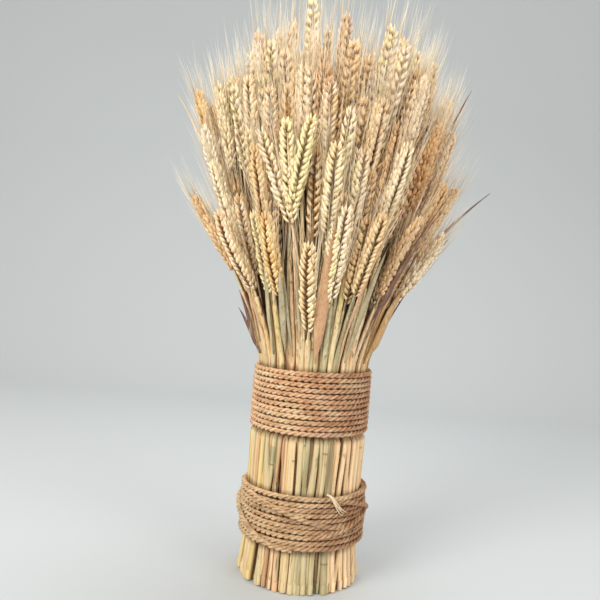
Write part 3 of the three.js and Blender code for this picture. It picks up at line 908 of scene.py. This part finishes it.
def add_strands(paths, centre, draw):
    """Two strands twisted round each other along a centre line. Returns the line's way ahead."""
    ahead = unit(np.gradient(centre, axis=0))
    side = unit(np.cross(ahead, [0, 0, 1.0]))
    over = np.cross(side, ahead)
    run = np.concatenate([[0], np.cumsum(np.linalg.norm(np.diff(centre, axis=0), axis=1))])
    uneven = 0.5 * np.sin(run / 47) + 0.35 * np.sin(run / 19 + 1)
    for strand in range(2):
        turn = TURN * run / STRAND_LAY + math.pi * strand + uneven
        points = centre + STRANDS_APART * (side * np.cos(turn)[:, None] + over * np.sin(turn)[:, None])
        swell = 0.12 * np.sin(run / 31 + strand * 2) + 0.09 * draw.normal(size=len(run))
        paths.add(points, STRAND_GIRTH * (1 + swell), draw.random())
    return ahead


def add_loose_fibres(fibres, centre, ahead, draw, count):
    """Short fibres that stand off the cord's outer side."""
    picked = draw.integers(4, len(centre) - 4, count)
    out = unit(centre[picked] * [1, 1, 0])
    rise = draw.uniform(-0.9, 0.9, count)[:, None]
    root = centre[picked] + out * (1.9 - 0.7 * abs(rise)) + [0, 0, 1] * rise * 1.6
    way = ahead[picked] * draw.choice([-1, 1], count)[:, None] + out * draw.uniform(0.1, 0.5, count)[:, None]
    way = unit(way + [0, 0, 1] * draw.uniform(-0.5, 0.5, count)[:, None])
    size = np.stack([np.full(count, 0.1), np.full(count, 0.07), draw.uniform(3, 9, count)], -1)
    fibres.add(root, way, -out, size, draw.random(count), 0.9)


def add_tail(paths, band, draw, start, end):
    """The frayed end of the cord: fibres that part, from one angle and height to another."""
    share = np.linspace(0, 1, 9)
    for _ in range(7):
        angle = np.radians(mix(start[0], end[0] + 3 * draw.normal(), share) - 90)
        height = mix(start[1], end[1] + 3 * draw.normal(), eased(share))
        radius = seated(band) + CORD_DEPTH + 0.3 + share * draw.uniform(0.2, 1.6)
        paths.add(around(radius, angle, height), mix(0.95, 0.3, share), draw.random())


def cord_piece(name, band, seed, tones):
    draw = np.random.default_rng(seed)
    strands, loose_ends, fibres = Paths(), Paths(), Growths()
    routes = [cord_route(band, draw), *[crossing_route(band, *crossing) for crossing in band["crossings"]]]
    for route in routes:
        ahead = add_strands(strands, route, draw)
        add_loose_fibres(fibres, route, ahead, draw, len(route) // 6)
        core = (route - CORE_SUNK * unit(route * [1, 1, 0]))[::4]
        strands.add(core, CORE_GIRTH, draw.random())
    for tail in band["tails"]:
        add_tail(loose_ends, band, draw, *tail)
    parts = [
        grown("strands", limb, strands, Sides=5, Finish=cord_finish(f"{name}_fibre", tones, seated(band))),
        grown("fibres", growth, fibres, Shape=awn, Finish=awn_material),
    ]
    if band["tails"]:
        parts.append(grown("tails", limb, loose_ends, Sides=5, Finish=frayed))
    return joined(name, parts)


# Assembly


def joined(name, parts):
    first = parts[0]
    with bpy.context.temp_override(active_object=first, object=first, selected_editable_objects=parts,
                                   selected_objects=parts):
        bpy.ops.object.join()
    first.name = name
    first.data.name = name
    return first


def hand_over(piece, slot, *nodes):
    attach(piece, "root")
    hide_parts(*nodes)


def stalk_piece(name, stalks, seed, husk_look, straw_look, kind):
    """Stalks as one mesh: straws with sheaths, ears and awns, and cut ends where they show."""
    draw, ear_draw = np.random.default_rng(seed), np.random.default_rng(seed + 1000)
    straws, husks, awns, cuts = Paths(), Growths(), Growths(), Growths()
    for stalk in stalks:
        neck = neck_height(stalk)
        girth = draw.uniform(*kind["girth"])
        tint = straw_tint(stalk, draw)
        foot = kind["foot"] or stalk["cut"] + 5
        line = straw_line(stalk, draw, draw.uniform(*kind["sink"]), kind["drift"], kind["slant"])
        joints = add_straw(straws, line, draw, foot, neck, girth, tint, kind["neck_girth"])
        if draw.random() < kind["sheathed"]:
            drawn = draw.uniform(*SHEATH_STARTS)
            start = next((joint + 1 for joint in joints if joint < SHEATH_JOINT_LIMIT), drawn)
            if foot < start:
                near = np.clip(tint + 0.2 * draw.normal(), 0, 1)
                add_sheath(straws, line, start, start + draw.uniform(*SHEATH_LENGTHS), girth + 0.25, near)
        if draw.random() < kind["sheathed"] * 1.6:
            end = min(neck - 12, draw.uniform(*FAN_SHEATH_ENDS))
            near = np.clip(tint + 0.25 * draw.normal(), 0, 1)
            add_sheath(straws, line, FAN_SHEATH_START, end, girth * 1.04 + 0.1, near)
        base, up, _, _ = ear_frame(stalk)
        rachis = [base + up * place for place in (-1, stalk["ear"] * 0.5, stalk["ear"] - 8)]
        straws.add(rachis, [kind["neck_girth"], 1.2, 0.5], tint)
        tone = stalk.get("tone", mix(0.0, 1.2, ear_draw.beta(1.8, 1.6)))
        grow_ear(stalk, husks, awns, ear_draw, tone, kind["levels"], kind["husks"], kind["awns"])
        if not kind["foot"]:
            add_cut_end(cuts, line, stalk["cut"], girth, tint)
    parts = [
        grown("straws", limb, straws, Sides=kind["sides"], Finish=straw_look),
        grown("husks", growth, husks, Shape=shapes[kind["husk"]], Finish=husk_look),
        grown("awns", growth, awns, Shape=awn, Finish=awn_material),
    ]
    if not kind["foot"]:
        parts.append(grown("cuts", growth, cuts, Shape=cut_end, Finish=straw_look))
    return joined(name, parts)


# Packed straws: rings, their distance apart, and the straws' distance along a ring. From one ring inwards
# they end just above the ties. The others bend slightly back as they spread. Spans are given for the tip
# that a straw's curve aims at, for the top where it ends, and for its girth
PACKED_RINGS, PACKED_STEP, PACKED_PITCH = 8, 5.9, 6.1
PACKED_STEPS = [5, 36, 92, 136, 144]
PACKED_START, PACKED_BEND = 50.5, 1.5
PACKED_TIPS, PACKED_TOPS, PACKED_GIRTH = (400, 470), (300, 400), (2.4, 3.0)
LOW_RINGS, LOW_TOP = 6, 214


def packed_straws():
    """The straws behind the outer ring, some of which run on up among the ears."""
    draw = np.random.default_rng(300)
    straws, cuts = Paths(), Growths()
    outer_radius = LOWER_BAND["straw_line"]
    for ring in range(1, PACKED_RINGS + 1):
        radius = outer_radius - PACKED_STEP * ring
        count = max(1, int(TURN * radius / PACKED_PITCH))
        for i in range(count):
            tip = draw.uniform(*PACKED_TIPS)
            share = radius / outer_radius
            rise = (tip - FAN_START) / 100
            angle = (i + 0.5 * (ring % 2)) * 360 / count + draw.uniform(-1, 1)
            spread = share * (PACKED_START + FAN_SLOPE * rise - PACKED_BEND * rise**2)
            stalk = dict(angle=angle, share=share, tip=tip, radius=spread, swing=draw.uniform(-2, 2))
            line = straw_line(stalk, draw)
            girth, tint = draw.uniform(*PACKED_GIRTH), draw.random()
            top = draw.uniform(*PACKED_TOPS) if ring < LOW_RINGS else LOW_TOP
            above = np.linspace(FAN_START, top, 6 if ring < LOW_RINGS else 2)
            heights = np.concatenate([PACKED_STEPS, above])
            places = [0, FAN_START, LOW_TOP, PACKED_TOPS[1]]
            thick = np.interp(heights, places, [girth, girth, girth * 0.85, 1.3])
            straws.add(line(heights), thick, tint)
            add_cut_end(cuts, line, draw.uniform(0, 1.5), girth, tint)
    parts = [grown("straws", limb, straws, Sides=6, Finish=shaded_straw),
             grown("cuts", growth, cuts, Shape=packed_end, Finish=straw_material)]
    return joined("packed_straws", parts)


# Tones, as stops of a ramp

STRAW_TONES = {
    0: "948962", 0.08: "b3ac82", 0.18: "d0bd90", 0.3: "dcc290", 0.36: "dfc67c", 0.42: "e6cea0",
    0.54: "dfb98a", 0.62: "eed4a6", 0.69: "e8c286", 0.75: "e2b674", 0.82: "f5d6ac", 0.92: "d8ac7c",
    1: "ac865c",
}
SHADED_TONES = {0: "8a6a44", 0.25: "b98f5e", 0.5: "dcb680", 0.75: "cfa06c", 1: "9c7450"}
HUSK_TONES = {
    "gold": {0: "dfaa60", 0.35: "eec47e", 0.7: "f9dea2", 1: "feeec8"},
    "tan": {0: "cf9862", 0.35: "e9c088", 0.7: "f6d8aa", 1: "fceaca"},
    "pale": {0: "e4bc88", 0.35: "f4d5a4", 0.7: "fbe7c4", 1: "fef2da"},
    "ochre": {0: "cc9054", 0.35: "e8bb78", 0.7: "f3d29a", 1: "fae8be"},
    "inner": {0: "c68c56", 0.3: "e6b87a", 0.6: "f3d29c", 0.85: "fbe8cc", 1: "faebb0"},
}
AWN_TONES = {0: "d9b077", 0.35: "efd7a8", 0.7: "fbf1dc", 1: "fffaf0"}
FRAYED_TONES = {0: "f0dcb8", 1: "fff6e4"}
UPPER_TONES = {0.15: "a8784e", 0.38: "daaa80", 0.58: "f0caa2", 0.78: "fbe0c0", 1: "fff4e2"}
LOWER_TONES = {0.15: "8e6e4a", 0.38: "c29e76", 0.58: "dfbe94", 0.78: "f2dab4", 1: "fff0d8"}
LEAF_TONES = {
    0: "5e4238", 0.16: "7d584a", 0.3: "aea482", 0.45: "baab84", 0.58: "c89d66", 0.74: "cfa07a",
    0.88: "e4c398", 1: "f1dcb2",
}

growth = growth_tree()
limb = limb_tree()
shapes = {name: pointed_shape(name, *shape) for name, shape in SHAPES.items()}
awn, cut_end, packed_end = shapes["awn"], cut_end_shape("cut_end", 8), cut_end_shape("packed_end", 5)
# Both straw finishes paint shade on flanks in a gap tone; the shaded copy has darker tones and paints shade
# deep in the fan
straw_material = straw_finish("dry_straw", STRAW_TONES, "7d5832", 0.68, 0.0)
shaded_straw = straw_finish("shaded_straw", SHADED_TONES, "4e2c16", 0.9, 0.7)
awn_material = awn_finish("pale_awns", AWN_TONES)
frayed = awn_finish("frayed_end", FRAYED_TONES)

outer = outer_stalks()
inner = ring_stalks(INNER_RINGS, 23, TALLEST)
names = [f"stalk_{i + 1:02d}" for i in range(OUTER_STRAWS)]
OUTER_KIND = dict(
    foot=None, girth=(2.1, 3.5), sink=(0, 1.2), drift=0.8, slant=1.6, neck_girth=1.2, sheathed=0.5,
    husk="fine_husk", levels=30, husks=5, awns=0.95, sides=8,
)
GAP_KIND = dict(
    foot=None, girth=(1.4, 2.7), sink=(-0.8, 1.8), drift=1.5, slant=3.8, neck_girth=1.1, sheathed=0.2,
    husk="small_husk", levels=28, husks=4, awns=0.55, sides=8,
)
INNER_KIND = dict(
    foot=190, girth=(2.2, 2.9), sink=(0, 0), drift=0.0, slant=0.0, neck_girth=1.1, sheathed=0.3,
    husk="plain_husk", levels=20, husks=4, awns=0.55, sides=6,
)

outer_tones = ["gold", "tan", "pale", "ochre"]
for number, tone in enumerate(outer_tones):
    own = slice(number, None, len(outer_tones))
    husks = husk_finish(f"{tone}_husks", HUSK_TONES[tone])
    piece = stalk_piece(f"{tone}_stalks", outer[own], 100 + number, husks, straw_material, OUTER_KIND)
    hand_over(piece, f"straw_{tone}", *names[own])

inner_husks = husk_finish("inner_husks", HUSK_TONES["inner"])
ring_ends = np.cumsum([ring[1] for ring in INNER_RINGS])
low_gap = ring_stalks(GAP_RINGS[:1], 51, RAISED_LOW) + crossed_stalks()
groups = [
    ("low_gap_stalks", low_gap, GAP_KIND, straw_material),
    ("high_gap_stalks", ring_stalks(GAP_RINGS[1:], 52, RAISED_HIGH), GAP_KIND, straw_material),
    ("inner_ring_stalks", inner[: ring_ends[0]], INNER_KIND, shaded_straw),
    ("middle_ring_stalks", inner[ring_ends[0] : ring_ends[1]], INNER_KIND, shaded_straw),
    ("centre_stalks", inner[ring_ends[1] :], INNER_KIND, shaded_straw),
    ("flank_stalks", ring_stalks(FLANK_RINGS, 43, RAISED_FLANK), INNER_KIND, shaded_straw),
    ("outer_fill_stalks", ring_stalks(FILL_RINGS[:2], 41), INNER_KIND, shaded_straw),
    ("inner_fill_stalks", ring_stalks(FILL_RINGS[2:], 42), INNER_KIND, shaded_straw),
]
for number, (name, stalks, kind, material) in enumerate(groups):
    piece = stalk_piece(name, stalks, 200 + number, inner_husks, material, kind)
    hand_over(piece, "straw_inner", "inner_stalks")
hand_over(packed_straws(), "straw_inner", "inner_stalks")

leaf_slots = sorted({leaf[0] for leaf in LEAVES})
leaf_nodes = [names[int(slot + FRONT_PLACE)] for slot in leaf_slots]
hand_over(leaf_piece(outer), "straw_tan", *leaf_nodes)

hand_over(cord_piece("lower_cord", LOWER_BAND, 501, LOWER_TONES), "cord", "lower_cord_band")
hand_over(cord_piece("upper_cord", UPPER_BAND, 502, UPPER_TONES), "cord", "upper_cord_band")


# Studio

# The sheet, in metres: half its width, its front edge, where it starts to rise, the radius of the bend, the
# wall's height, and how far it lies under the cut ends
SHEET_HALF, SHEET_FRONT, SHEET_BEND = 4.0, -3.0, 1.0
BEND_RADIUS, WALL_HEIGHT, SHEET_DROP = 0.8, 3.5, 0.0002
# The photograph's view: width and focal length in pixels, sensor in mm, the sheaf's lean to the right in
# degrees, and the camera's place in metres
PHOTO_WIDTH, FOCAL_LENGTH, SENSOR = 600, 643, 36
SHEAF_LEAN = 4.6
EYE = (-0.0185, -0.64478, 0.269)


def studio_sheet():
    """A pale floor that curves up into a wall behind."""
    turns = np.linspace(0.1, math.pi / 2, 14)
    rise = [(SHEET_FRONT, 0.0), (SHEET_BEND, 0.0)]
    rise += [(SHEET_BEND + BEND_RADIUS * math.sin(t), BEND_RADIUS - BEND_RADIUS * math.cos(t)) for t in turns]
    rise += [(SHEET_BEND + BEND_RADIUS, WALL_HEIGHT)]
    points = [(x, y, z - SHEET_DROP) for y, z in rise for x in (-SHEET_HALF, SHEET_HALF)]
    faces = [(2 * i, 2 * i + 1, 2 * i + 3, 2 * i + 2) for i in range(len(rise) - 1)]
    sheet = placed_object("studio_sheet", plain_mesh("studio_sheet", np.array(points) / MM, (), faces))
    sheet.data.materials.append(Finish("studio_grey").done(colour("c4c9cb"), 0.9))
    sheet.data.shade_smooth()


def soft_light(name, place, aim, size, power, tint):
    lamp = bpy.data.lights.new(name, "AREA")
    lamp.shape = "DISK"
    lamp.size = size
    lamp.energy = power
    lamp.color = tint
    light = placed_object(name, lamp)
    light.location = place
    light.rotation_euler = (Vector(place) - Vector(aim)).to_track_quat("Z", "Y").to_euler()


def front_camera():
    """The photograph's view: level with the ties, a little left of the middle, the sheaf leaning right."""
    view = bpy.data.cameras.new("front_view")
    view.sensor_width = SENSOR
    view.lens = SENSOR * FOCAL_LENGTH / PHOTO_WIDTH
    camera = placed_object("front_view", view)
    level = Matrix.Rotation(math.pi / 2, 4, "X")
    camera.matrix_world = Matrix.Translation(EYE) @ level @ Matrix.Rotation(math.radians(SHEAF_LEAN), 4, "Z")
    bpy.context.scene.camera = camera


studio_sheet()
soft_light("key_light", (-1.1, -1.3, 1.1), (0, 0, 0.3), 1.0, 25.5, (1.0, 0.98, 0.95))
soft_light("fill_light", (1.3, -1.2, 0.8), (0, 0, 0.3), 1.2, 11, (1.0, 0.99, 0.97))
soft_light("top_light", (0.2, 0.5, 1.6), (0, 0, 0.4), 0.8, 9, (1.0, 1.0, 1.0))
world = bpy.data.worlds.new("studio")
world.use_nodes = True
sky = world.node_tree.nodes["Background"].inputs
feed(world.node_tree, sky, {"Color": (0.9, 0.87, 0.83, 1), "Strength": 0.8})
bpy.context.scene.world = world
bpy.context.scene.view_settings.view_transform = "Standard"
front_camera()
